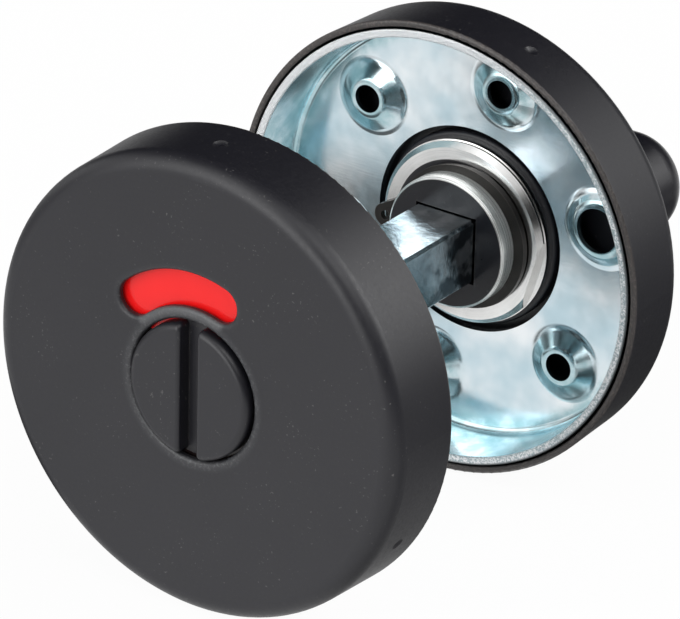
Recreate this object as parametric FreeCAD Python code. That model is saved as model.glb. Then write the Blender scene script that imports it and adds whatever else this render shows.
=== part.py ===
import FreeCAD, Part
import math
import os
from FreeCAD import Vector

# Bathroom thumb turn and coin release set: two round roses joined through the door by a square spindle.
# Millimetres. The spindle runs along Y, the outside rose faces -Y, the thumb turn +Y, and Z is up.
# The origin is on the spindle axis, half way through the door.
# Depth is counted from the rim plane of a rose, on the door face, towards the face of that rose.
# Clock angles run clockwise from up, as seen from the outside.
# The sizes across follow each other outwards from the neck.
# The fixing circle comes out at 38 mm and the rose at 55 mm.

# Door and spindle
DOOR_GAP = 36.0
SPINDLE_SIDE = 8.0
SPINDLE_CHAMFER = 0.35
SPINDLE_ENGAGED = 10.0
SOCKET_CLEAR = 0.15

# Snap-on covers
ROSE_HEIGHT = 10.0
COVER_WALL = 0.8
COVER_DRAFT = 0.4
COVER_EDGE_RADIUS = 2.2
COVER_RIM_RADIUS = 0.3
PIP_COUNT = 3
PIP_DEPTH = 4.6
PIP_BALL_RADIUS = 1.1
PIP_DENT = 0.35
PIP_REACH = 0.2
OUTSIDE_PIP_CLOCK = -1.1
INSIDE_PIP_CLOCK = 20.0

# Pressed base plates
BASE_SHEET = 1.0
BASE_RIM_GAP = 0.25
BASE_DRAFT = 0.3
BASE_RIM_RADIUS = 0.2
BASE_CORNER_RADIUS = 0.8
BASE_HOLE_CLEAR = 0.8
BASE_CLOCK = 13.4
FIXING_COUNT = 6
DISH_INNER_LAND = 1.1
DISH_OUTER_LAND = 0.05
DISH_RISE = 1.3
DISH_SHOULDER_RADIUS = 1.6
DISH_SHOULDER_LAND = 0.65
DISH_LIP_RADIUS = 1.2
DISH_LIP_THICKNESS = 0.6
SCREW_HOLE_DIAMETER = 3.4
SCREW_LIP = 0.6
SCREW_DISH_DIAMETER = 10.2
BOLT_HOLE_DIAMETER = 5.4
BOLT_LIP = 0.6
BOLT_DISH_DIAMETER = 10.6

# Round necks that carry the turns
NECK_DIAMETER = 16.0
RELEASE_NECK_DIAMETER = 14.0
NECK_BEYOND_CLIP = 2.3
NECK_CHAMFER = 0.3
RUN_FIT = 0.05
THREAD_FIT = 0.02
AXIAL_PLAY = 0.1

# Circlips
CLIP_THICKNESS = 0.7
CLIP_GROOVE_DEPTH = 0.4
CLIP_GROOVE_PLAY = 0.05
CLIP_BACK_WIDTH = 1.75
CLIP_FRONT_WIDTH = 0.5
CLIP_OPENING = 3.0
CLIP_EAR_RADIUS = 1.45
CLIP_EAR_SPREAD = 5.6
CLIP_EAR_REACH = 2.0
CLIP_EAR_HOLE = 1.2
CLIP_EAR_FOOT_CLOCK = 40.0
INSIDE_CLIP_CLOCK = 253.0
OUTSIDE_CLIP_CLOCK = 90.0

# Pressed well of the inside cover, with the threaded bush, washer and collar nut that it holds
WELL_CLEAR = 0.5
WELL_DEPTH = 1.8
WELL_ROUND = 0.5
BUSH_WALL = 1.0
BUSH_FLANGE_WIDTH = 1.45
BUSH_FLANGE_THICKNESS = 1.2
BUSH_FLANGE_ROUND = 0.4
WASHER_OVERHANG = 0.1
WASHER_THICKNESS = 0.9
NUT_WALL = 2.03
NUT_THICKNESS = 1.0
NUT_CHAMFER = 0.6
NUT_FLAT_CUT = 1.0
NUT_FLAT_CLOCK = 106.0
BUSH_STAND_PROUD = 0.1

# Thumb turn
STEM_DIAMETER = 19.0
STEM_HEIGHT = 4.8
STEM_ROUND = 0.5
GRIP_LENGTH = 28.0
GRIP_THICKNESS = 13.0
GRIP_HEIGHT = 19.4
GRIP_ROUND = 1.4
GRIP_END_ROUND = 4.7
SPINDLE_SEAT = 11.0

# Indicator disc and coin release of the outside rose
DISC_OVERLAP = 4.05
DISC_THICKNESS = 0.5
DISC_CLEAR = 0.4
COIN_DIAMETER = 16.0
COIN_HOLE_CLEAR = 0.3
COIN_PROUD = 0.8
COIN_EDGE_ROUND = 0.8
KEY_INSET = 0.55
KEY_FLAT_CUT = 0.5
SLOT_WIDTH = 2.3
SLOT_DEPTH = 1.9
SLOT_ROUND = 0.5
WINDOW_LAND = 1.45
WINDOW_WIDTH = 4.2
WINDOW_SPAN = 59.6
WINDOW_CLOCK = -11.9
FACE_EDGE_ROUND = 0.5
SLEEVE_DIAMETER = 13.6
SLEEVE_INTO_DOOR = 8.0
SOCKET_FLOOR = 1.0

# Nylon bearing of the outside rose
BEARING_FLANGE_OVERLAP = 1.0
BEARING_FLANGE_THICKNESS = 1.0
BEARING_HUB_RISE = 0.6
BEARING_CLEAR = 0.1

# Sizes that follow from the ones above
INSIDE = 1
OUTSIDE = -1
AXIS = Vector(0, 1, 0)
CENTRE = Vector(0, 0, 0)
cover_inside = ROSE_HEIGHT - COVER_WALL
disc_face = cover_inside - DISC_CLEAR
disc_back = disc_face - DISC_THICKNESS
base_floor_back = disc_back - AXIAL_PLAY
base_floor = base_floor_back - BASE_SHEET
dish_top = base_floor - DISH_RISE
neck_radius = NECK_DIAMETER / 2
release_neck = RELEASE_NECK_DIAMETER / 2
bush_bore = neck_radius + RUN_FIT
bush_radius = bush_bore + BUSH_WALL
bush_flange_radius = bush_radius + BUSH_FLANGE_WIDTH
well_radius = bush_flange_radius + WELL_CLEAR
nut_bore = bush_radius + THREAD_FIT
nut_radius = nut_bore + NUT_WALL
washer_radius = nut_radius + WASHER_OVERHANG
base_hole_radius = well_radius + COVER_WALL + BASE_HOLE_CLEAR
bolt_dish_radius = BOLT_DISH_DIAMETER / 2
fixing_radius = base_hole_radius + DISH_INNER_LAND + bolt_dish_radius
base_flat_radius = fixing_radius + bolt_dish_radius + DISH_OUTER_LAND
base_rim_radius = base_flat_radius + BASE_CORNER_RADIUS + BASE_DRAFT + BASE_SHEET
rose_radius = base_rim_radius + BASE_RIM_GAP + COVER_WALL
bearing_bore = release_neck + RUN_FIT
coin_radius = COIN_DIAMETER / 2
key_radius = coin_radius - KEY_INSET
coin_hole = coin_radius + COIN_HOLE_CLEAR
window_inner = coin_hole + WINDOW_LAND
disc_radius = window_inner + WINDOW_WIDTH + DISC_OVERLAP
well_floor = ROSE_HEIGHT - WELL_DEPTH
well_back = well_floor - COVER_WALL
washer_top = well_back - WASHER_THICKNESS
nut_top = washer_top - NUT_THICKNESS
bush_end = nut_top - BUSH_STAND_PROUD
inside_clip_back = bush_end - AXIAL_PLAY
neck_end = inside_clip_back - CLIP_THICKNESS - NECK_BEYOND_CLIP
stem_start = well_floor + BUSH_FLANGE_THICKNESS + AXIAL_PLAY
grip_start = stem_start + STEM_HEIGHT
grip_end = grip_start + GRIP_HEIGHT
stem_end = grip_start + GRIP_ROUND / 2
spindle_seat_depth = neck_end + SPINDLE_SEAT
coin_face = ROSE_HEIGHT + COIN_PROUD
slot_floor = coin_face - SLOT_DEPTH
socket_end = slot_floor - SOCKET_FLOOR
bearing_end = base_floor - BEARING_FLANGE_THICKNESS - BEARING_HUB_RISE
outside_clip_back = bearing_end - AXIAL_PLAY
sleeve_start = outside_clip_back - 2 * CLIP_THICKNESS
socket_side = SPINDLE_SIDE + 2 * SOCKET_CLEAR


def level(side, depth):
    """Height along Y of a plane at this depth in one of the two roses."""
    return side * (DOOR_GAP / 2 + depth)


def rounded_wire(corners):
    """A closed wire through (point, radius) corners, each rounded by a tangent arc where it has a radius."""
    bends = []
    for index, (point, radius) in enumerate(corners):
        if not radius:
            bends.append((point, None, point))
            continue
        back = (corners[index - 1][0] - point).normalize()
        ahead = (corners[(index + 1) % len(corners)][0] - point).normalize()
        half_angle = back.getAngle(ahead) / 2
        reach = radius / math.tan(half_angle)
        inward = (back + ahead).normalize()
        middle = point + inward * (radius / math.sin(half_angle) - radius)
        bends.append((point + back * reach, middle, point + ahead * reach))
    edges = []
    for index, (start, middle, end) in enumerate(bends):
        if middle is not None:
            edges.append(Part.Arc(start, middle, end).toShape())
        edges.append(Part.LineSegment(end, bends[(index + 1) % len(bends)][0]).toShape())
    return Part.Wire(edges)


def turned(side, outline):
    """A solid of revolution about the spindle axis, from (radius, depth, rounding) corners."""
    corners = [(Vector(radius, level(side, depth), 0), rounding) for radius, depth, rounding in outline]
    solid = Part.Face(rounded_wire(corners)).revolve(CENTRE, AXIS, 360)
    if solid.Volume < 0:
        solid.reverse()
    return solid


def bar(side, radius, near, far):
    """A round bar on the spindle axis between two depths."""
    return Part.makeCylinder(radius, far - near, Vector(0, level(side, near), 0), AXIS * side)


def square_bar(side, width, near, far):
    """A square bar on the spindle axis between two depths, with its sides upright."""
    start = min(level(side, near), level(side, far))
    return Part.makeBox(width, far - near, width, Vector(-width / 2, start, -width / 2))


def clocked(shape, clock):
    """The shape turned about the spindle axis to a clock angle."""
    copy = shape.copy()
    copy.rotate(CENTRE, AXIS, clock)
    return copy


def prism(side, wire, near, far):
    """A straight solid between two depths from a wire drawn in the plane Y = 0."""
    solid = Part.Face(wire).extrude(Vector(0, side * (far - near), 0))
    solid.translate(Vector(0, level(side, near), 0))
    return solid


def cap(side, middle):
    """The shell of a cover: a drafted wall, a flat face and rounded edges, around a given middle."""
    rim_inside = rose_radius - COVER_WALL
    corner_inside = COVER_EDGE_RADIUS - COVER_WALL
    return turned(side, [
        (rose_radius, 0, COVER_RIM_RADIUS),
        (rose_radius - COVER_DRAFT, ROSE_HEIGHT, COVER_EDGE_RADIUS),
        *middle,
        (rim_inside - COVER_DRAFT, cover_inside, corner_inside),
        (rim_inside, 0, COVER_RIM_RADIUS),
    ])


def with_pips(side, shell, first_clock):
    """The cover with its ring of pips: small dents outside that stand proud inside and grip the base."""
    wall = rose_radius - COVER_DRAFT * PIP_DEPTH / ROSE_HEIGHT
    inner_wall = wall - COVER_WALL
    height = level(side, PIP_DEPTH)
    dent = Part.makeSphere(PIP_BALL_RADIUS, Vector(0, height, wall + PIP_BALL_RADIUS - PIP_DENT))
    bump = Part.makeSphere(PIP_BALL_RADIUS, Vector(0, height, inner_wall + PIP_BALL_RADIUS - PIP_REACH))
    bump = bump.common(bar(side, inner_wall + COVER_WALL / 2, 0, ROSE_HEIGHT))
    for index in range(PIP_COUNT):
        clock = first_clock + index * 360 / PIP_COUNT
        shell = shell.fuse(clocked(bump, clock))
        shell = shell.cut(clocked(dent, clock))
    return shell.removeSplitter()


def window_wire():
    """The arc-shaped window with round ends, drawn at twelve o'clock."""
    end_radius = WINDOW_WIDTH / 2
    inner = window_inner
    middle = inner + end_radius
    outer = inner + WINDOW_WIDTH
    half = WINDOW_SPAN / 2

    def at(radius, clock):
        return Vector(radius * math.sin(math.radians(clock)), 0, radius * math.cos(math.radians(clock)))

    right_tip = at(middle, half) + at(end_radius, half + 90)
    left_tip = at(middle, -half) + at(end_radius, -half - 90)
    return Part.Wire([
        Part.Arc(at(outer, -half), at(outer, 0), at(outer, half)).toShape(),
        Part.Arc(at(outer, half), right_tip, at(inner, half)).toShape(),
        Part.Arc(at(inner, half), at(inner, 0), at(inner, -half)).toShape(),
        Part.Arc(at(inner, -half), left_tip, at(outer, -half)).toShape(),
    ])


def edges_in_plane(shape, height, reach):
    """Edges that lie in one plane across the spindle axis, within a distance of that axis."""
    found = []
    for edge in shape.Edges:
        box = edge.BoundBox
        flat = abs(box.YMin - height) < 1e-4 and abs(box.YMax - height) < 1e-4
        near_axis = max(abs(box.XMin), abs(box.XMax), abs(box.ZMin), abs(box.ZMax)) < reach
        if flat and near_axis:
            found.append(edge)
    return found


def outside_cover():
    """The cover with the coin hole and the window, both with soft pressed edges on the face."""
    shell = cap(OUTSIDE, [(coin_hole, ROSE_HEIGHT, 0), (coin_hole, cover_inside, 0)])
    shell = shell.cut(clocked(prism(OUTSIDE, window_wire(), 0, ROSE_HEIGHT), WINDOW_CLOCK))
    window_reach = window_inner + WINDOW_WIDTH + COVER_WALL
    soft = edges_in_plane(shell, level(OUTSIDE, ROSE_HEIGHT), window_reach)
    shell = shell.makeFillet(FACE_EDGE_ROUND, soft)
    return with_pips(OUTSIDE, shell, OUTSIDE_PIP_CLOCK)


def inside_cover():
    """The cover of the thumb turn side, with a pressed well and the hole for the threaded bush."""
    bush_hole = bush_radius + RUN_FIT
    shell = cap(INSIDE, [
        (well_radius, ROSE_HEIGHT, WELL_ROUND),
        (well_radius, well_floor, 0),
        (bush_hole, well_floor, 0),
        (bush_hole, well_back, 0),
        (well_radius + COVER_WALL, well_back, WELL_ROUND),
        (well_radius + COVER_WALL, cover_inside, 0),
    ])
    return with_pips(INSIDE, shell, INSIDE_PIP_CLOCK)


def dish(side, hole, lip, dish_diameter):
    """One dished fixing hole, pressed towards the door so that a screw head sits below the floor."""
    shoulder = dish_diameter / 2 - DISH_SHOULDER_LAND
    hole_radius = hole / 2
    lip_radius = hole_radius + lip
    slope = math.atan2(DISH_RISE, shoulder - lip_radius)
    shift = BASE_SHEET * math.tan(slope / 2)
    return turned(side, [
        (dish_diameter / 2, base_floor, 0),
        (shoulder, base_floor, DISH_SHOULDER_RADIUS),
        (lip_radius, dish_top, DISH_LIP_RADIUS),
        (hole_radius, dish_top, 0),
        (hole_radius, dish_top + DISH_LIP_THICKNESS, 0),
        (lip_radius - shift, dish_top + DISH_LIP_THICKNESS, 0),
        (shoulder - shift, base_floor_back, 0),
        (dish_diameter / 2, base_floor_back, 0),
    ])


def base_plate(side):
    """A pressed cup with a large centre hole and six dished fixing holes, two of them for through bolts."""
    rim_inside = base_rim_radius - BASE_SHEET
    plate = turned(side, [
        (base_rim_radius, 0, BASE_RIM_RADIUS),
        (base_rim_radius - BASE_DRAFT, base_floor_back, BASE_CORNER_RADIUS + BASE_SHEET),
        (base_hole_radius, base_floor_back, 0),
        (base_hole_radius, base_floor, 0),
        (rim_inside - BASE_DRAFT, base_floor, BASE_CORNER_RADIUS),
        (rim_inside, 0, BASE_RIM_RADIUS),
    ])
    for index in range(FIXING_COUNT):
        bolt = index % (FIXING_COUNT // 2) == 1
        hole = BOLT_HOLE_DIAMETER if bolt else SCREW_HOLE_DIAMETER
        lip = BOLT_LIP if bolt else SCREW_LIP
        dish_diameter = BOLT_DISH_DIAMETER if bolt else SCREW_DISH_DIAMETER
        clock = BASE_CLOCK + index * 360 / FIXING_COUNT
        place = Vector(0, 0, fixing_radius)
        blank = bar(side, dish_diameter / 2, base_floor, base_floor_back)
        blank.translate(place)
        pressed = dish(side, hole, lip, dish_diameter)
        pressed.translate(place)
        plate = plate.cut(clocked(blank, clock)).fuse(clocked(pressed, clock))
    return plate.removeSplitter()


def circlip(side, neck, back, clock):
    """An external circlip: an eccentric ring, widest opposite its opening, with two drilled ears."""
    inner = neck - CLIP_GROOVE_DEPTH
    outer = inner + (CLIP_BACK_WIDTH + CLIP_FRONT_WIDTH) / 2
    shift = (CLIP_BACK_WIDTH - CLIP_FRONT_WIDTH) / 2
    near = back - CLIP_THICKNESS
    clip = bar(side, outer, near, back)
    clip.translate(Vector(0, 0, -shift))
    ear_height = inner + CLIP_EAR_REACH
    foot_radius = inner + CLIP_FRONT_WIDTH / 2
    foot = math.radians(CLIP_EAR_FOOT_CLOCK)
    ears = []
    holes = []
    for hand in (-1, 1):
        place = Vector(hand * CLIP_EAR_SPREAD / 2, 0, ear_height)
        ear = bar(side, CLIP_EAR_RADIUS, near, back)
        ear.translate(place)
        hole = bar(side, CLIP_EAR_HOLE / 2, near, back)
        hole.translate(place)
        lug = Part.makePolygon([
            CENTRE,
            Vector(hand * foot_radius * math.sin(foot), 0, foot_radius * math.cos(foot)),
            place + Vector(hand * CLIP_EAR_RADIUS, 0, 0),
            Vector(0, 0, ear_height),
            CENTRE,
        ])
        ears += [ear, prism(side, lug, near, back)]
        holes.append(hole)
    clip = clip.multiFuse(ears)
    opening_low = min(level(side, near), level(side, back))
    opening_corner = Vector(-CLIP_OPENING / 2, opening_low, 0)
    opening_length = ear_height + CLIP_EAR_RADIUS
    opening = Part.makeBox(CLIP_OPENING, CLIP_THICKNESS, opening_length, opening_corner)
    clip = clip.cut(bar(side, inner, near, back))
    for tool in holes + [opening]:
        clip = clip.cut(tool)
    return clocked(clip.removeSplitter(), clock)


def inside_bush():
    """The threaded bush that the thumb turn runs in, with its flange in the well of the cover."""
    flange_top = well_floor + BUSH_FLANGE_THICKNESS
    return turned(INSIDE, [
        (bush_bore, bush_end, 0),
        (bush_radius, bush_end, 0),
        (bush_radius, well_floor, 0),
        (bush_flange_radius, well_floor, 0),
        (bush_flange_radius, flange_top, BUSH_FLANGE_ROUND),
        (bush_bore, flange_top, 0),
    ])


def bush_washer():
    """The flat washer between the cover and the nut."""
    washer = bar(INSIDE, washer_radius, washer_top, well_back)
    return washer.cut(bar(INSIDE, bush_radius + RUN_FIT, washer_top, well_back))


def collar_nut():
    """The round nut on the bush, with one flat for a key and chamfered outer edges."""
    nut = turned(INSIDE, [
        (nut_bore, nut_top, 0),
        (nut_radius - NUT_CHAMFER, nut_top, 0),
        (nut_radius, nut_top + NUT_CHAMFER, 0),
        (nut_radius, washer_top, 0),
        (nut_bore, washer_top, 0),
    ])
    flat = Part.makeBox(2 * nut_radius, NUT_THICKNESS, NUT_WALL)
    flat.translate(Vector(-nut_radius, level(INSIDE, nut_top), nut_radius - NUT_FLAT_CUT))
    return nut.cut(clocked(flat, NUT_FLAT_CLOCK))


def grip_wire():
    """The outline of the grip, a bar with half-round ends, drawn lying along X."""
    end_radius = GRIP_THICKNESS / 2
    straight = GRIP_LENGTH / 2 - end_radius
    corners = [Vector(straight, 0, end_radius), Vector(straight, 0, -end_radius)]
    corners += [Vector(-straight, 0, -end_radius), Vector(-straight, 0, end_radius)]
    tips = [Vector(GRIP_LENGTH / 2, 0, 0), Vector(-GRIP_LENGTH / 2, 0, 0)]
    return Part.Wire([
        Part.Arc(corners[0], tips[0], corners[1]).toShape(),
        Part.LineSegment(corners[1], corners[2]).toShape(),
        Part.Arc(corners[2], tips[1], corners[3]).toShape(),
        Part.LineSegment(corners[3], corners[0]).toShape(),
    ])


def thumb_turn():
    """The grip on its round stem, and the neck with the circlip groove and the square socket."""
    grip = prism(INSIDE, grip_wire(), grip_start, grip_end)
    grip = grip.makeFillet(GRIP_END_ROUND, edges_in_plane(grip, level(INSIDE, grip_end), GRIP_LENGTH))
    grip = grip.makeFillet(GRIP_ROUND, edges_in_plane(grip, level(INSIDE, grip_start), GRIP_LENGTH))
    groove_near = inside_clip_back - CLIP_THICKNESS - CLIP_GROOVE_PLAY
    groove_far = inside_clip_back + CLIP_GROOVE_PLAY
    groove_radius = neck_radius - CLIP_GROOVE_DEPTH
    stem = turned(INSIDE, [
        (0, neck_end, 0),
        (neck_radius - NECK_CHAMFER, neck_end, 0),
        (neck_radius, neck_end + NECK_CHAMFER, 0),
        (neck_radius, groove_near, 0),
        (groove_radius, groove_near, 0),
        (groove_radius, groove_far, 0),
        (neck_radius, groove_far, 0),
        (neck_radius, stem_start, 0),
        (STEM_DIAMETER / 2, stem_start, 0),
        (STEM_DIAMETER / 2, stem_end, STEM_ROUND),
        (0, stem_end, 0),
    ])
    turn = grip.fuse(stem).removeSplitter()
    return turn.cut(square_bar(INSIDE, socket_side, neck_end, spindle_seat_depth))


def spindle():
    """The square bar that carries the turn through the door, with chamfered long edges."""
    low = level(OUTSIDE, -SLEEVE_INTO_DOOR) - SPINDLE_ENGAGED
    high = level(INSIDE, spindle_seat_depth)
    half = SPINDLE_SIDE / 2
    rod = Part.makeBox(SPINDLE_SIDE, high - low, SPINDLE_SIDE, Vector(-half, low, -half))
    return rod.makeChamfer(SPINDLE_CHAMFER, rod.Edges)


def key_section(near, far, clear):
    """A round bar with two flats, the shape that keys the indicator disc to the release."""
    key = bar(OUTSIDE, key_radius + clear, near, far)
    width = 2 * (key_radius - KEY_FLAT_CUT + clear)
    length = 4 * key_radius
    corner = Vector(-width / 2, level(OUTSIDE, far), -length / 2)
    return key.common(Part.makeBox(width, far - near, length, corner))


def release_turn():
    """The coin slot head, the key for the disc, the grooved neck and the sleeve with a square socket."""
    groove_near = outside_clip_back - CLIP_THICKNESS - CLIP_GROOVE_PLAY
    groove_far = outside_clip_back + CLIP_GROOVE_PLAY
    groove_radius = release_neck - CLIP_GROOVE_DEPTH
    body = turned(OUTSIDE, [
        (0, -SLEEVE_INTO_DOOR, 0),
        (SLEEVE_DIAMETER / 2 - NECK_CHAMFER, -SLEEVE_INTO_DOOR, 0),
        (SLEEVE_DIAMETER / 2, NECK_CHAMFER - SLEEVE_INTO_DOOR, 0),
        (SLEEVE_DIAMETER / 2, sleeve_start, 0),
        (release_neck, sleeve_start, 0),
        (release_neck, groove_near, 0),
        (groove_radius, groove_near, 0),
        (groove_radius, groove_far, 0),
        (release_neck, groove_far, 0),
        (release_neck, disc_back, 0),
        (0, disc_back, 0),
    ])
    head = turned(OUTSIDE, [
        (0, disc_face, 0),
        (coin_radius, disc_face, 0),
        (coin_radius, coin_face, COIN_EDGE_ROUND),
        (0, coin_face, 0),
    ])
    face = level(OUTSIDE, coin_face)
    slot = Part.makeBox(SLOT_WIDTH, SLOT_DEPTH, COIN_DIAMETER, Vector(-SLOT_WIDTH / 2, face, -coin_radius))
    turn = body.fuse(key_section(disc_back, disc_face, 0)).fuse(head).removeSplitter()
    turn = turn.cut(slot)
    rims = edges_in_plane(turn, face, COIN_DIAMETER)
    lips = [edge for edge in rims if edge.Curve.TypeId == "Part::GeomLine"]
    turn = turn.makeFillet(SLOT_ROUND, lips)
    return turn.cut(square_bar(OUTSIDE, socket_side, -SLEEVE_INTO_DOOR, socket_end))


def indicator_disc():
    """The coloured disc behind the window, keyed to the neck of the release."""
    disc = bar(OUTSIDE, disc_radius, disc_back, disc_face)
    return disc.cut(key_section(disc_back, disc_face, RUN_FIT))


def outside_bearing():
    """The nylon bearing that fills the centre hole of the base and lets the neck of the release turn."""
    flange_near = base_floor - BEARING_FLANGE_THICKNESS
    hub_radius = base_hole_radius - BEARING_CLEAR
    flange_radius = base_hole_radius + BEARING_FLANGE_OVERLAP
    return turned(OUTSIDE, [
        (bearing_bore, bearing_end, 0),
        (hub_radius, bearing_end, BEARING_HUB_RISE / 2),
        (hub_radius, flange_near, 0),
        (flange_radius, flange_near, 0),
        (flange_radius, base_floor, 0),
        (hub_radius, base_floor, 0),
        (hub_radius, base_floor_back, 0),
        (bearing_bore, base_floor_back, 0),
    ])


pieces = {
    "outside_cover": outside_cover(),
    "outside_base_plate": base_plate(OUTSIDE),
    "outside_bearing": outside_bearing(),
    "release_turn": release_turn(),
    "indicator_disc": indicator_disc(),
    "outside_circlip": circlip(OUTSIDE, release_neck, outside_clip_back, OUTSIDE_CLIP_CLOCK),
    "spindle": spindle(),
    "inside_cover": inside_cover(),
    "inside_base_plate": base_plate(INSIDE),
    "inside_bush": inside_bush(),
    "bush_washer": bush_washer(),
    "collar_nut": collar_nut(),
    "inside_circlip": circlip(INSIDE, neck_radius, inside_clip_back, INSIDE_CLIP_CLOCK),
    "thumb_turn": thumb_turn(),
}

os.makedirs("parts", exist_ok=True)
for name, shape in pieces.items():
    if shape.ShapeType != "Solid":
        shape = shape.Solids[0]
    shape.exportStep(os.path.join("parts", name + ".step"))
    print(name, "valid", shape.isValid(), "volume", round(shape.Volume, 2))
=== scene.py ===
import math

import bpy
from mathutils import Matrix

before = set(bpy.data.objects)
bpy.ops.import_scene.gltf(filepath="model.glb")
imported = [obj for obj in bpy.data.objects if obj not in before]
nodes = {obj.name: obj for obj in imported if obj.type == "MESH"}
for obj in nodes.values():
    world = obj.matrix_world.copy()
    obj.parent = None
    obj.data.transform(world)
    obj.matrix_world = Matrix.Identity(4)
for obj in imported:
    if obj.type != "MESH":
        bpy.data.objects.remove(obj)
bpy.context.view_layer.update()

# Sizes of the part that the materials follow, in millimetres in the part's own frame. A pair is where something
# starts and where it is full. Clocks, pitches and spans are in degrees, clockwise from up seen from the coin release.
DOOR_GAP = 36.0
FIXING_CIRCLE = 38.0
FIXING_PITCH = 60.0
BASE_CLOCK = 13.4
# The corner and the dishes take a darker blue, part passivation and part painted shade.
BASE_CORNER = (22.6, 24.4)
DISH_SLOPE = (5.1, 3.0)
RIM_SHEARED = (0.24, 0.12)
# Radii of the painted shade on the rolled-over rim, and the clock of the rim's darker painted side.
RIM_ROLLOVER_SHADE = (26.05, 26.35)
RIM_SHADED_CLOCK = 125.0
WINDOW_CLOCK = -11.9
WINDOW_HALF_SPAN = 29.8
WINDOW_RADIUS = 11.85
WINDOW_HALF_WIDTH = 2.1
COIN_HOLE = 8.3
COVER_FACE = (-27.5, -27.7)
# Where the painted highlight on the cover rims fades out from the door face.
COVER_RIM_HIGHLIGHT = (0.5, 0.1)
# Width and reach of the painted highlight on the lip between the coin hole and the window.
LIP_HIGHLIGHT_WIDTH = (2.0, 1.5)
LIP_HIGHLIGHT_REACH = (1.4, 0.4)
# Radius of the dark hub on the disc that paints the shade of the gap round the coin, smaller at the window.
SHADED_HUB_RADIUS = 9.2
SHADED_HUB_RADIUS_AT_WINDOW = 8.0
TURN_NECK = (20.32, 27.45)
TURN_NECK_RADIUS = 7.72
RELEASE_NECK = (-26.0, -9.9)
RELEASE_NECK_RADIUS = 6.5
# Where the smudges and painted shade on the spindle start and are full, along it and towards its +X side.
SMUDGE_AND_SHADE_ALONG_SPINDLE = (8.0, 15.0)
SHADED_SIDE = (3.2, 3.9)

# Colours of the finishes.
COAT_DARK = (0.0078, 0.0078, 0.0112, 1)
COAT_LIGHT = (0.0115, 0.0113, 0.0152, 1)
COAT_DUST = (0.16, 0.155, 0.15, 1)
# Lighter edges of the coat, part wear and part painted highlight.
COAT_WORN_AND_HIGHLIT = (0.085, 0.08, 0.075, 1)
# Lighter coat round the coin hole and the window, part rubbed wear and part painted highlight.
COAT_RUBBED_AND_HIGHLIT = (0.105, 0.108, 0.112, 1)
# Painted highlight on the rims of the covers.
COAT_RIM_HIGHLIGHT = (0.120, 0.104, 0.094, 1)
NECK_DARK = (0.78, 0.80, 0.78, 1)
NECK_LIGHT = (0.90, 0.91, 0.89, 1)
SHEET_LIGHT = (0.88, 0.92, 0.94, 1)
SHEET_DARK = (0.52, 0.67, 0.74, 1)
# Darker blue in the dishes and the corner, part passivation and part painted shade.
SHEET_TINT_AND_SHADE = (0.32, 0.52, 0.56, 1)
TOOTH_DARK = (0.44, 0.53, 0.56, 1)
TOOTH_LIGHT = (0.98, 0.99, 1.0, 1)
# Painted shade on the rolled-over rim, and painted light on the pale smooth side of the rim.
ROLLOVER_SHADE = (0.16, 0.18, 0.19, 1)
LIT_RIM_DARK = (0.82, 0.85, 0.87, 1)
LIT_RIM_LIGHT = (0.93, 0.94, 0.95, 1)
BAR_LIGHT = (0.68, 0.73, 0.76, 1)
BAR_DARK = (0.56, 0.63, 0.67, 1)
# Smudges near the thumb turn that also paint shade.
BAR_SMUDGE_AND_SHADE = (0.08, 0.11, 0.13, 1)
BAR_SPECK = (0.22, 0.26, 0.29, 1)
BAR_WORN = (0.88, 0.90, 0.91, 1)
NICKEL_LIGHT = (0.88, 0.88, 0.87, 1)
NICKEL_DARK = (0.80, 0.80, 0.79, 1)
NICKEL_WORN = (0.93, 0.92, 0.90, 1)
SPRING_DARK = (0.020, 0.019, 0.018, 1)
SPRING_LIGHT = (0.038, 0.035, 0.033, 1)
SPRING_WORN = (0.16, 0.14, 0.13, 1)
PRINT_RED_DARK = (0.78, 0.007, 0.008, 1)
PRINT_RED_LIGHT = (0.86, 0.012, 0.012, 1)
PRINT_WHITE_DARK = (0.76, 0.76, 0.74, 1)
PRINT_WHITE_LIGHT = (0.82, 0.82, 0.80, 1)
# Dark hub on the disc, painted shade for the gap round the coin.
PAINTED_SHADE_HUB = (0.012, 0.008, 0.008, 1)
NYLON_DARK = (0.016, 0.016, 0.017, 1)
NYLON_LIGHT = (0.028, 0.028, 0.029, 1)
FLOOR_COLOUR = (0.86, 0.86, 0.86, 1)
WHITE = (1, 1, 1, 1)

# Roughness of the finishes, from their smoothest to their roughest, and the shares that go with them.
COAT_ROUGHNESS = (0.37, 0.47)
TURN_ROUGHNESS = (0.27, 0.35)
RELEASE_ROUGHNESS = (0.34, 0.44)
NECK_ROUGHNESS = (0.24, 0.34)
SHEET_ROUGHNESS = (0.15, 0.21)
RIM_ROUGHNESS = 0.42
BAR_ROUGHNESS = (0.11, 0.17)
NICKEL_ROUGHNESS = (0.18, 0.24)
SPRING_ROUGHNESS = (0.30, 0.42)
PRINT_ROUGHNESS = (0.12, 0.18)
NYLON_ROUGHNESS = (0.42, 0.52)
FLOOR_ROUGHNESS = 0.9
COAT_LEVEL = 0.5
PRINT_LEVEL = 0.34
NECK_METALLIC = 0.7
SPRING_METALLIC = 0.6
NICKEL_ANISOTROPY = 0.5


# Node helpers.

def add(tree, kind, inputs=None, **settings):
    """A node with its settings made and its sockets set or linked."""
    node = tree.nodes.new(kind)
    for key, value in settings.items():
        setattr(node, key, value)
    for key, value in (inputs or {}).items():
        if isinstance(value, bpy.types.NodeSocket):
            tree.links.new(value, node.inputs[key])
        else:
            node.inputs[key].default_value = value
    return node


def calc(tree, operation, *values, clamp=False):
    """The result of a math node."""
    node = add(tree, "ShaderNodeMath", dict(enumerate(values)), operation=operation, use_clamp=clamp)
    return node.outputs[0]


def times(tree, first, second):
    """The product of two values."""
    return calc(tree, "MULTIPLY", first, second)


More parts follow.
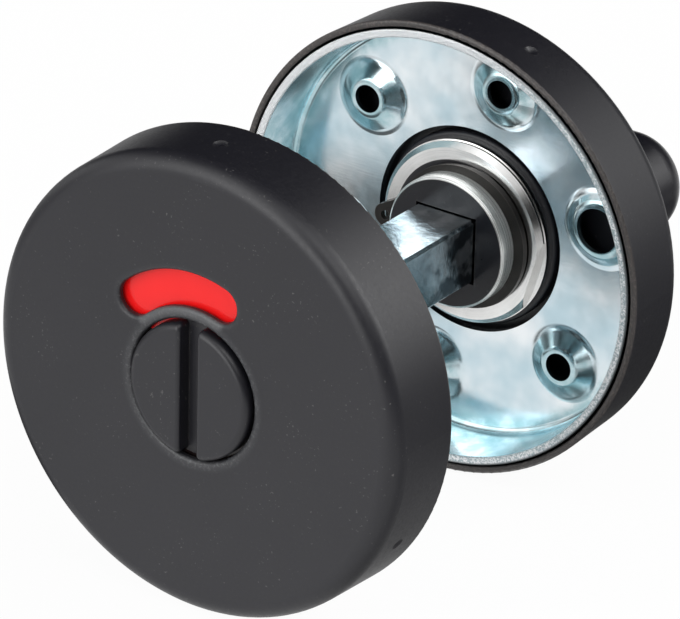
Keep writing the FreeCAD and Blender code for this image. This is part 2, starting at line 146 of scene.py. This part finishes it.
def less(tree, first, second):
    """The first value less the second."""
    return calc(tree, "SUBTRACT", first, second)


def in_radians(tree, degrees):
    """An angle in degrees taken to radians."""
    return times(tree, degrees, math.radians(1.0))


def vector_number(tree, operation, *vectors):
    """The number that a vector math node gives."""
    return add(tree, "ShaderNodeVectorMath", dict(enumerate(vectors)), operation=operation).outputs["Value"]


def ramp(tree, value, low, high, start=0.0, end=1.0):
    """A value taken smoothly from one range to another."""
    inputs = {"Value": value, "From Min": low, "From Max": high, "To Min": start, "To Max": end}
    return add(tree, "ShaderNodeMapRange", inputs, interpolation_type="SMOOTHSTEP").outputs[0]


def span(tree, share, start, end):
    """A value between two others, by a share from nothing to one."""
    return ramp(tree, share, 0.0, 1.0, start, end)


def blend_colour(tree, factor, first, second):
    """A colour between two colours."""
    inputs = {"Factor": factor, 6: first, 7: second}
    return add(tree, "ShaderNodeMix", inputs, data_type="RGBA").outputs[2]


def noise(tree, place, scale, detail=2.0, roughness=0.5):
    """Smooth noise with so many features per millimetre."""
    inputs = {"Vector": place, "Scale": scale, "Detail": detail, "Roughness": roughness}
    return add(tree, "ShaderNodeTexNoise", inputs).outputs[0]


def stretched_noise(tree, place, scale, turn=0.0, detail=3.0):
    """Noise with its own scale along each axis, turned about the spindle by so many radians."""
    inputs = {"Vector": place, "Rotation": (0, turn, 0), "Scale": scale}
    return noise(tree, add(tree, "ShaderNodeMapping", inputs).outputs[0], scale=1.0, detail=detail)


def ring_noise(tree, radius, y, scale, detail):
    """Noise in rings about the spindle axis, with so many rings per millimetre."""
    rings = add(tree, "ShaderNodeCombineXYZ", {0: times(tree, radius, scale), 1: times(tree, y, scale)})
    return noise(tree, rings.outputs[0], scale=1.0, detail=detail)


def millimetres(tree):
    """The place on the piece in millimetres."""
    place = add(tree, "ShaderNodeTexCoord").outputs["Object"]
    return add(tree, "ShaderNodeVectorMath", {0: place, "Scale": 1000.0}, operation="SCALE").outputs[0]


def parts_of(tree, vector):
    """The three parts of a vector."""
    return add(tree, "ShaderNodeSeparateXYZ", {0: vector}).outputs


def axis_distance(tree, x, z):
    """The distance from the spindle axis."""
    return calc(tree, "SQRT", calc(tree, "ADD", times(tree, x, x), times(tree, z, z)))


def clock_angle(tree, x, z):
    """Degrees clockwise from up about the spindle axis, seen from the coin release."""
    return times(tree, calc(tree, "ARCTAN2", x, z), math.degrees(1.0))


def door_distance(tree, y):
    """The distance from the face of the door, on either side of it."""
    return less(tree, calc(tree, "ABSOLUTE", y), DOOR_GAP / 2)


def edge_mask(tree, width):
    """One on the edges of a piece and nothing on its faces."""
    soft = add(tree, "ShaderNodeBevel", {"Radius": width / 1000.0}, samples=6).outputs[0]
    true = add(tree, "ShaderNodeNewGeometry").outputs["Normal"]
    return ramp(tree, vector_number(tree, "DOT_PRODUCT", soft, true), 0.99, 0.82)


def bump(tree, height, depth, strength, below=None):
    """A bumped normal, with the depth of the bumps in millimetres."""
    inputs = {"Height": height, "Distance": depth / 1000.0, "Strength": strength}
    if below is not None:
        inputs["Normal"] = below
    return add(tree, "ShaderNodeBump", inputs).outputs[0]


def new_material(name):
    """A fresh material and its shader."""
    material = bpy.data.materials.new(name)
    material.use_nodes = True
    return material, material.node_tree, material.node_tree.nodes["Principled BSDF"]


SOCKETS = {
    "colour": "Base Color", "roughness": "Roughness", "metallic": "Metallic", "normal": "Normal",
    "level": "Specular IOR Level", "anisotropy": "Anisotropic", "tangent": "Tangent",
}


def wire(tree, shader, **values):
    """Sets or links the shader's sockets."""
    for key, value in values.items():
        socket = shader.inputs[SOCKETS[key]]
        if isinstance(value, bpy.types.NodeSocket):
            tree.links.new(value, socket)
        else:
            socket.default_value = value


# Materials.

def coat_values(tree, place, roughness_range, grain_depth):
    """Colour, roughness and normal of the matte black powder coat, with dust in clusters and edges lighter, part wear
    and part painted highlight.
    """
    cloud = noise(tree, place, scale=0.12, detail=3.0)
    grain = noise(tree, place, scale=2.6, detail=4.0, roughness=0.6)
    dust = ramp(tree, noise(tree, place, scale=2.9, detail=1.0), 0.67, 0.80)
    cluster = ramp(tree, noise(tree, place, scale=0.24), 0.46, 0.64, start=0.04, end=0.45)
    wear_and_highlight = ramp(tree, noise(tree, place, scale=1.3, detail=4.0), 0.35, 0.7, start=0.10, end=0.45)
    colour = blend_colour(tree, cloud, COAT_DARK, COAT_LIGHT)
    colour = blend_colour(tree, times(tree, dust, cluster), colour, COAT_DUST)
    # Lighter edges, part wear and part painted highlight.
    colour = blend_colour(tree, times(tree, edge_mask(tree, 0.5), wear_and_highlight), colour, COAT_WORN_AND_HIGHLIT)
    roughness = ramp(tree, grain, 0.25, 0.75, *roughness_range)
    normal = bump(tree, grain, depth=grain_depth, strength=0.35)
    return colour, roughness, normal


def window_distance(tree, x, z):
    """The distance from the edge of the arc window, seen along the axis."""
    turned = less(tree, clock_angle(tree, x, z), WINDOW_CLOCK)
    held = calc(tree, "MINIMUM", calc(tree, "MAXIMUM", turned, -WINDOW_HALF_SPAN), WINDOW_HALF_SPAN)
    angle = in_radians(tree, calc(tree, "ADD", held, WINDOW_CLOCK))
    off_x = less(tree, x, times(tree, calc(tree, "SINE", angle), WINDOW_RADIUS))
    off_z = less(tree, z, times(tree, calc(tree, "COSINE", angle), WINDOW_RADIUS))
    return less(tree, axis_distance(tree, off_x, off_z), WINDOW_HALF_WIDTH)


def matte_black():
    """Powder coat of the covers, lighter round the coin hole and the window as part rubbed wear and part painted
    highlight, with a painted highlight on the lip between them and at the rims.
    """
    material, tree, shader = new_material("matte_black")
    place = millimetres(tree)
    x, y, z = parts_of(tree, place)
    colour, roughness, normal = coat_values(tree, place, COAT_ROUGHNESS, grain_depth=0.02)
    from_coin = less(tree, axis_distance(tree, x, z), COIN_HOLE)
    from_window = window_distance(tree, x, z)
    speckle = ramp(tree, noise(tree, place, scale=2.6, detail=4.0, roughness=0.7), 0.45, 0.70)
    # Lighter round the coin hole and the window: part rubbed wear, part painted highlight on the rounded edges.
    by_coin = ramp(tree, from_coin, 1.4, 0.1)
    by_window = ramp(tree, from_window, 0.9, 0.1, end=0.35)
    rubbed_and_highlit = times(tree, calc(tree, "MAXIMUM", by_coin, by_window), span(tree, speckle, 0.22, 0.8))
    # Painted highlight on the lip between the coin hole and the window.
    lip_highlight = ramp(tree, calc(tree, "ADD", from_coin, from_window), *LIP_HIGHLIGHT_WIDTH)
    lip_highlight = times(tree, lip_highlight, ramp(tree, from_window, *LIP_HIGHLIGHT_REACH))
    lip_highlight = times(tree, lip_highlight, span(tree, speckle, 0.65, 1.0))
    on_face = ramp(tree, y, *COVER_FACE)
    rubbed_and_highlit = times(tree, calc(tree, "MAXIMUM", rubbed_and_highlit, lip_highlight), on_face)
    # Painted highlight along the rims of the covers.
    rim_highlight = times(tree, ramp(tree, door_distance(tree, y), *COVER_RIM_HIGHLIGHT), span(tree, speckle, 0.35, 0.8))
    colour = blend_colour(tree, rubbed_and_highlit, colour, COAT_RUBBED_AND_HIGHLIT)
    colour = blend_colour(tree, rim_highlight, colour, COAT_RIM_HIGHLIGHT)
    wire(tree, shader, colour=colour, roughness=roughness, normal=normal, level=COAT_LEVEL)
    return material


def turned_metal_values(tree, place, radius, y):
    """Colour, roughness and normal of bare turned metal, with fine rings about the axis."""
    lines = ring_noise(tree, radius, y, scale=9.0, detail=2.0)
    cloud = noise(tree, place, scale=0.35, detail=3.0)
    colour = blend_colour(tree, cloud, NECK_DARK, NECK_LIGHT)
    roughness = ramp(tree, lines, 0.3, 0.7, *NECK_ROUGHNESS)
    normal = bump(tree, lines, depth=0.006, strength=0.2)
    return colour, roughness, normal


def coat_with_bare_neck(name, bare_from, bare_to, bare_radius, roughness_range):
    """Powder coat, with bare turned metal on the neck between two heights along the axis."""
    material, tree, shader = new_material(name)
    place = millimetres(tree)
    x, y, z = parts_of(tree, place)
    radius = axis_distance(tree, x, z)
    colour, roughness, normal = coat_values(tree, place, roughness_range, grain_depth=0.006)
    metal_colour, metal_roughness, metal_normal = turned_metal_values(tree, place, radius, y)
    above = ramp(tree, y, bare_from - 0.02, bare_from + 0.02)
    below = ramp(tree, y, bare_to + 0.02, bare_to - 0.02)
    outside = ramp(tree, radius, bare_radius - 0.05, bare_radius + 0.02)
    bare = times(tree, times(tree, above, below), outside)
    colour = blend_colour(tree, bare, colour, metal_colour)
    roughness = span(tree, bare, roughness, metal_roughness)
    mixed = add(tree, "ShaderNodeMix", {"Factor": bare, 4: normal, 5: metal_normal}, data_type="VECTOR")
    metallic = times(tree, bare, NECK_METALLIC)
    wire(tree, shader, colour=colour, roughness=roughness, metallic=metallic)
    wire(tree, shader, normal=mixed.outputs[1], level=COAT_LEVEL)
    return material


def fixing_hole_distance(tree, radius, clock):
    """The distance from the middle of the nearest fixing hole, seen along the axis."""
    turned = less(tree, clock, BASE_CLOCK - FIXING_PITCH / 2)
    folded = less(tree, calc(tree, "FLOORED_MODULO", turned, FIXING_PITCH), FIXING_PITCH / 2)
    angle = in_radians(tree, folded)
    across = times(tree, radius, calc(tree, "SINE", angle))
    out = less(tree, times(tree, radius, calc(tree, "COSINE", angle)), FIXING_CIRCLE / 2)
    return axis_distance(tree, across, out)


def zinc_sheet():
    """Zinc plated pressed sheet, darker and bluer in the dishes and the corner as part passivation and part painted
    shade, sheared at the rim with painted light and shade on it.
    """
    material, tree, shader = new_material("zinc_sheet")
    place = millimetres(tree)
    x, y, z = parts_of(tree, place)
    radius = axis_distance(tree, x, z)
    clock = clock_angle(tree, x, z)

    cloud = noise(tree, place, scale=0.11, detail=3.0)
    bloom = noise(tree, place, scale=0.45, detail=3.0, roughness=0.6)
    wave = noise(tree, place, scale=0.13, detail=1.0)
    tooth = noise(tree, place, scale=4.2, detail=4.0, roughness=0.7)
    lines = stretched_noise(tree, place, scale=(0.25, 1.0, 5.0), turn=0.6)

    # Darker blue in the dishes and the corner, part passivation and part painted shade.
    dished = ramp(tree, fixing_hole_distance(tree, radius, clock), *DISH_SLOPE)
    tint_and_shade = calc(tree, "MAXIMUM", dished, ramp(tree, radius, *BASE_CORNER))
    tint_and_shade = times(tree, tint_and_shade, ramp(tree, bloom, 0.3, 0.65, start=0.45, end=1.0))
    colour = blend_colour(tree, ramp(tree, cloud, 0.30, 0.70), SHEET_LIGHT, SHEET_DARK)
    colour = blend_colour(tree, times(tree, tint_and_shade, 0.8), colour, SHEET_TINT_AND_SHADE)

    # The sheared rim is toothed. Its rolled-over outer part gets painted shade; the side toward clock 125 is painted
    # darker and toothed, and the other side is painted pale and smooth: painted shade and painted light.
    sheared = ramp(tree, door_distance(tree, y), *RIM_SHEARED)
    from_shaded_side = in_radians(tree, less(tree, clock, RIM_SHADED_CLOCK))
    shaded_side = ramp(tree, calc(tree, "COSINE", from_shaded_side), -0.55, 0.1)
    shaded_toothed = blend_colour(tree, ramp(tree, tooth, 0.40, 0.60), TOOTH_DARK, TOOTH_LIGHT)
    shaded_toothed = blend_colour(tree, ramp(tree, radius, *RIM_ROLLOVER_SHADE), shaded_toothed, ROLLOVER_SHADE)
    lit_smooth = blend_colour(tree, tooth, LIT_RIM_DARK, LIT_RIM_LIGHT)
    colour = blend_colour(tree, sheared, colour, blend_colour(tree, shaded_side, lit_smooth, shaded_toothed))

    roughness = span(tree, sheared, ramp(tree, bloom, 0.3, 0.7, *SHEET_ROUGHNESS), RIM_ROUGHNESS)
    normal = bump(tree, wave, depth=0.06, strength=0.3)
    normal = bump(tree, lines, depth=0.005, strength=0.3, below=normal)
    normal = bump(tree, times(tree, tooth, sheared), depth=0.16, strength=0.9, below=normal)
    wire(tree, shader, colour=colour, roughness=roughness, metallic=1.0, normal=normal)
    return material


def zinc_bar():
    """Zinc plated drawn bar with fine lines along it, a few dark specks, and smudges near the thumb turn that also
    paint shade, darker on the +X side.
    """
    material, tree, shader = new_material("zinc_bar")
    place = millimetres(tree)
    x, y, _ = parts_of(tree, place)
    lines = stretched_noise(tree, place, scale=(4.0, 0.12, 4.0))
    cloud = noise(tree, place, scale=0.3, detail=3.0)
    specks = ramp(tree, noise(tree, place, scale=1.7), 0.66, 0.74)
    dapple = noise(tree, place, scale=1.3, detail=5.0, roughness=0.65)
    worn = edge_mask(tree, 0.3)
    # Smudges near the thumb turn that also paint shade, stronger on the +X side.
    smudge_and_shade = ramp(tree, noise(tree, place, scale=0.42, detail=3.0), 0.40, 0.58)
    smudge_and_shade = times(tree, smudge_and_shade, ramp(tree, y, *SMUDGE_AND_SHADE_ALONG_SPINDLE))
    smudge_and_shade = times(tree, smudge_and_shade, ramp(tree, x, *SHADED_SIDE, start=0.4, end=0.95))
    colour = blend_colour(tree, ramp(tree, cloud, 0.35, 0.65), BAR_LIGHT, BAR_DARK)
    colour = blend_colour(tree, smudge_and_shade, colour, BAR_SMUDGE_AND_SHADE)
    colour = blend_colour(tree, times(tree, specks, 0.6), colour, BAR_SPECK)
    colour = blend_colour(tree, times(tree, worn, 0.5), colour, BAR_WORN)
    roughness = ramp(tree, cloud, 0.3, 0.7, *BAR_ROUGHNESS)
    height = calc(tree, "ADD", times(tree, lines, 0.5), times(tree, specks, -0.6))
    normal = bump(tree, dapple, depth=0.09, strength=0.5)
    normal = bump(tree, height, depth=0.012, strength=0.3, below=normal)
    wire(tree, shader, colour=colour, roughness=roughness, metallic=1.0, normal=normal)
    return material


def nickel():
    """Nickel plated turned parts, with fine rings about the axis."""
    material, tree, shader = new_material("nickel")
    place = millimetres(tree)
    x, y, z = parts_of(tree, place)
    lines = ring_noise(tree, axis_distance(tree, x, z), y, scale=7.0, detail=3.0)
    cloud = noise(tree, place, scale=0.25, detail=3.0)
    colour = blend_colour(tree, ramp(tree, cloud, 0.35, 0.65), NICKEL_LIGHT, NICKEL_DARK)
    colour = blend_colour(tree, times(tree, edge_mask(tree, 0.2), 0.5), colour, NICKEL_WORN)
    roughness = ramp(tree, lines, 0.3, 0.7, *NICKEL_ROUGHNESS)
    normal = bump(tree, lines, depth=0.004, strength=0.15)
    grooves = add(tree, "ShaderNodeTangent", direction_type="RADIAL", axis="Y").outputs[0]
    wire(tree, shader, colour=colour, roughness=roughness, metallic=1.0, normal=normal)
    wire(tree, shader, anisotropy=NICKEL_ANISOTROPY, tangent=grooves)
    return material


def spring_steel():
    """Phosphated spring steel, dark and slightly brown."""
    material, tree, shader = new_material("spring_steel")
    place = millimetres(tree)
    grain = noise(tree, place, scale=3.0, detail=3.0)
    colour = blend_colour(tree, noise(tree, place, scale=0.5), SPRING_DARK, SPRING_LIGHT)
    colour = blend_colour(tree, times(tree, edge_mask(tree, 0.15), 0.4), colour, SPRING_WORN)
    roughness = ramp(tree, grain, 0.25, 0.75, *SPRING_ROUGHNESS)
    normal = bump(tree, grain, depth=0.01, strength=0.3)
    wire(tree, shader, colour=colour, roughness=roughness, metallic=SPRING_METALLIC, normal=normal)
    return material


def indicator():
    """The printed disc: red and white quarters, red behind the window when the set is locked, about a dark hub that
    paints the shade of the narrow gap round the coin.
    """
    material, tree, shader = new_material("indicator_red")
    place = millimetres(tree)
    x, _, z = parts_of(tree, place)
    from_window = less(tree, clock_angle(tree, x, z), WINDOW_CLOCK)
    turned = calc(tree, "ADD", from_window, 90.0)
    folded = less(tree, calc(tree, "FLOORED_MODULO", turned, 180.0), 90.0)
    in_white = ramp(tree, calc(tree, "ABSOLUTE", folded), 44.9, 45.1)
    at_window = calc(tree, "COSINE", in_radians(tree, from_window))
    # Dark hub that paints the shade of the gap round the coin, reaching less far out at the window.
    shaded_hub_radius = ramp(tree, at_window, 0.75, 0.8, SHADED_HUB_RADIUS, SHADED_HUB_RADIUS_AT_WINDOW)
    in_shaded_hub = ramp(tree, less(tree, shaded_hub_radius, axis_distance(tree, x, z)), -0.1, 0.1)
    grain = noise(tree, place, scale=2.2, detail=3.0)
    cloud = noise(tree, place, scale=0.15)
    red = blend_colour(tree, cloud, PRINT_RED_DARK, PRINT_RED_LIGHT)
    pale = blend_colour(tree, cloud, PRINT_WHITE_DARK, PRINT_WHITE_LIGHT)
    colour = blend_colour(tree, in_shaded_hub, blend_colour(tree, in_white, red, pale), PAINTED_SHADE_HUB)
    roughness = ramp(tree, grain, 0.3, 0.7, *PRINT_ROUGHNESS)
    normal = bump(tree, grain, depth=0.004, strength=0.1)
    wire(tree, shader, colour=colour, roughness=roughness, normal=normal, level=PRINT_LEVEL)
    return material


def nylon():
    """Moulded black nylon."""
    material, tree, shader = new_material("nylon")
    grain = noise(tree, millimetres(tree), scale=2.0, detail=3.0)
    colour = blend_colour(tree, grain, NYLON_DARK, NYLON_LIGHT)
    roughness = ramp(tree, grain, 0.3, 0.7, *NYLON_ROUGHNESS)
    wire(tree, shader, colour=colour, roughness=roughness, normal=bump(tree, grain, depth=0.015, strength=0.3))
    return material


def dress(material, *names):
    """Gives CAD nodes their material."""
    for name in names:
        slots = nodes[name].data.materials
        slots.clear()
        slots.append(material)


turn_coat = coat_with_bare_neck("turn_coat", *TURN_NECK, TURN_NECK_RADIUS, TURN_ROUGHNESS)
release_coat = coat_with_bare_neck("release_coat", *RELEASE_NECK, RELEASE_NECK_RADIUS, RELEASE_ROUGHNESS)
dress(matte_black(), "outside_cover", "inside_cover", "inside_bush")
dress(turn_coat, "thumb_turn")
dress(release_coat, "release_turn")
dress(zinc_sheet(), "inside_base_plate", "outside_base_plate")
dress(zinc_bar(), "spindle")
dress(nickel(), "bush_washer", "collar_nut")
dress(spring_steel(), "inside_circlip", "outside_circlip")
dress(indicator(), "indicator_disc")
dress(nylon(), "outside_bearing")


# Floor. The camera sees it white. In reflections it has a level near the object, with a lee on the object's dark side
# and shades where the object keeps the light off, and further out a dim level with pools of light. Places are in
# metres from the origin of the floor.
FLOOR_SIZE = 6.0
FLOOR_Z = -0.02752
FLOOR_GLOW = 0.96
FLOOR_NEAR = (0.10, 0.16)
FLOOR_NEAR_LEVEL = 1.0
FLOOR_LEE_X = (0.008, 0.026)
FLOOR_LEE_Y = (-0.045, -0.020)
FLOOR_LEE_LEVEL = 0.4
FLOOR_DIM = 0.15
# Each shade has its middle, the radius of its heart, the radius of its edge and the level in its heart.
FLOOR_SHADES = [(-0.043, -0.014, 0.018, 0.025, 0.1), (0.045, 0.062, 0.034, 0.056, 0.2)]
# Each pool has its degrees around from the front towards +X, its spread in degrees and its level.
FLOOR_POOLS = [(0, 80, 0.8), (-150, 60, 0.7)]


def heading(around, height=0.0):
    """The direction so many degrees around from the front towards +X, and so many above the floor."""
    turn, rise = math.radians(around), math.radians(height)
    return (math.sin(turn) * math.cos(rise), -math.cos(turn) * math.cos(rise), math.sin(rise))


def near_level(tree, place):
    """The floor's level near the object, with its lee and its shades."""
    x, y, _ = parts_of(tree, place)
    lee = times(tree, ramp(tree, x, *FLOOR_LEE_X), ramp(tree, y, *FLOOR_LEE_Y))
    level = span(tree, lee, FLOOR_NEAR_LEVEL, FLOOR_LEE_LEVEL)
    for middle_x, middle_y, heart, edge, dimmed in FLOOR_SHADES:
        apart = vector_number(tree, "DISTANCE", place, (middle_x, middle_y, 0.0))
        level = times(tree, level, ramp(tree, apart, heart, edge, dimmed, 1.0))
    return level


def far_level(tree, place):
    """The floor's level away from the object, with its pools of light."""
    toward = add(tree, "ShaderNodeVectorMath", {0: place}, operation="NORMALIZE").outputs[0]
    level = FLOOR_DIM
    for around, spread, strength in FLOOR_POOLS:
        facing = vector_number(tree, "DOT_PRODUCT", toward, heading(around))
        level = calc(tree, "ADD", level, ramp(tree, facing, math.cos(math.radians(spread)), 1.0, 0.0, strength))
    return calc(tree, "MINIMUM", level, 1.0)


def floor_material():
    """White floor that keeps a faint shadow, with light and shade on it that the metal shows."""
    material, tree, shader = new_material("floor_white")
    wire(tree, shader, colour=FLOOR_COLOUR, roughness=FLOOR_ROUGHNESS)
    place = add(tree, "ShaderNodeTexCoord").outputs["Object"]
    away = vector_number(tree, "LENGTH", place)
    level = ramp(tree, away, *FLOOR_NEAR, near_level(tree, place), far_level(tree, place))
    path = add(tree, "ShaderNodeLightPath").outputs
    mirrored = calc(tree, "ADD", path["Is Glossy Ray"], path["Is Transmission Ray"], clamp=True)
    level = calc(tree, "ADD", path["Is Camera Ray"], times(tree, mirrored, level))
    glow = add(tree, "ShaderNodeEmission", {"Color": WHITE, "Strength": level})
    share = times(tree, calc(tree, "ADD", path["Is Camera Ray"], mirrored), FLOOR_GLOW)
    both = add(tree, "ShaderNodeMixShader", {0: share, 1: shader.outputs[0], 2: glow.outputs[0]})
    tree.links.new(both.outputs[0], tree.nodes["Material Output"].inputs["Surface"])
    return material


bpy.ops.mesh.primitive_plane_add(size=FLOOR_SIZE, location=(0, 0, FLOOR_Z))
floor = bpy.context.object
floor.name = "floor"
floor.data.materials.append(floor_material())


# World. Soft panels of the studio: degrees around from the front towards +X, degrees above the floor, level.
PANELS = [
    (-90, 10, 1.1), (-44, 15, 1.1), (-30, 10, 1.6), (0, 10, 4.0), (130, 8, 1.6),
    (-60, 30, 0.9), (-20, 30, 2.0), (120, 30, 3.6), (143, 33, 1.3),
    (-30, 50, 1.0), (0, 50, 1.0), (60, 50, 3.3), (120, 50, 2.2), (45, 75, 0.6),
]
PANEL_EDGE = math.cos(math.radians(24))
PANEL_HEART = math.cos(math.radians(4))

world = bpy.data.worlds.new("studio")
bpy.context.scene.world = world
world.use_nodes = True
sky = world.node_tree
sky.nodes.clear()
looking = add(sky, "ShaderNodeTexCoord").outputs["Generated"]
panel_level = 0.0
for panel_around, panel_height, panel_strength in PANELS:
    panel_facing = vector_number(sky, "DOT_PRODUCT", looking, heading(panel_around, panel_height))
    panel = ramp(sky, panel_facing, PANEL_EDGE, PANEL_HEART, 0.0, panel_strength)
    panel_level = calc(sky, "ADD", panel_level, panel)
lit = add(sky, "ShaderNodeBackground", {"Color": WHITE, "Strength": panel_level}).outputs[0]
blank = add(sky, "ShaderNodeBackground", {"Color": WHITE, "Strength": 1.0}).outputs[0]
seen = add(sky, "ShaderNodeLightPath").outputs["Is Camera Ray"]
shown = add(sky, "ShaderNodeMixShader", {0: seen, 1: lit, 2: blank}).outputs[0]
add(sky, "ShaderNodeOutputWorld", {"Surface": shown})


# Camera, fitted to the outlines of both roses in the photograph: metres, degrees, millimetres.
CAMERA_PLACE = (0.328632, -0.469155, 0.274393)
CAMERA_TURN = (64.33587, -1.23132, 35.61873)
CAMERA_LENS = 300.397
CAMERA_SENSOR = 36.0
CAMERA_CLIP = (0.01, 20.0)

camera_data = bpy.data.cameras.new("camera")
camera_data.sensor_fit = "HORIZONTAL"
camera_data.sensor_width = CAMERA_SENSOR
camera_data.lens = CAMERA_LENS
camera_data.clip_start, camera_data.clip_end = CAMERA_CLIP
camera = bpy.data.objects.new("camera", camera_data)
bpy.context.scene.collection.objects.link(camera)
camera.location = CAMERA_PLACE
camera.rotation_euler = [math.radians(value) for value in CAMERA_TURN]
bpy.context.scene.camera = camera

bpy.context.scene.view_settings.view_transform = "Standard"
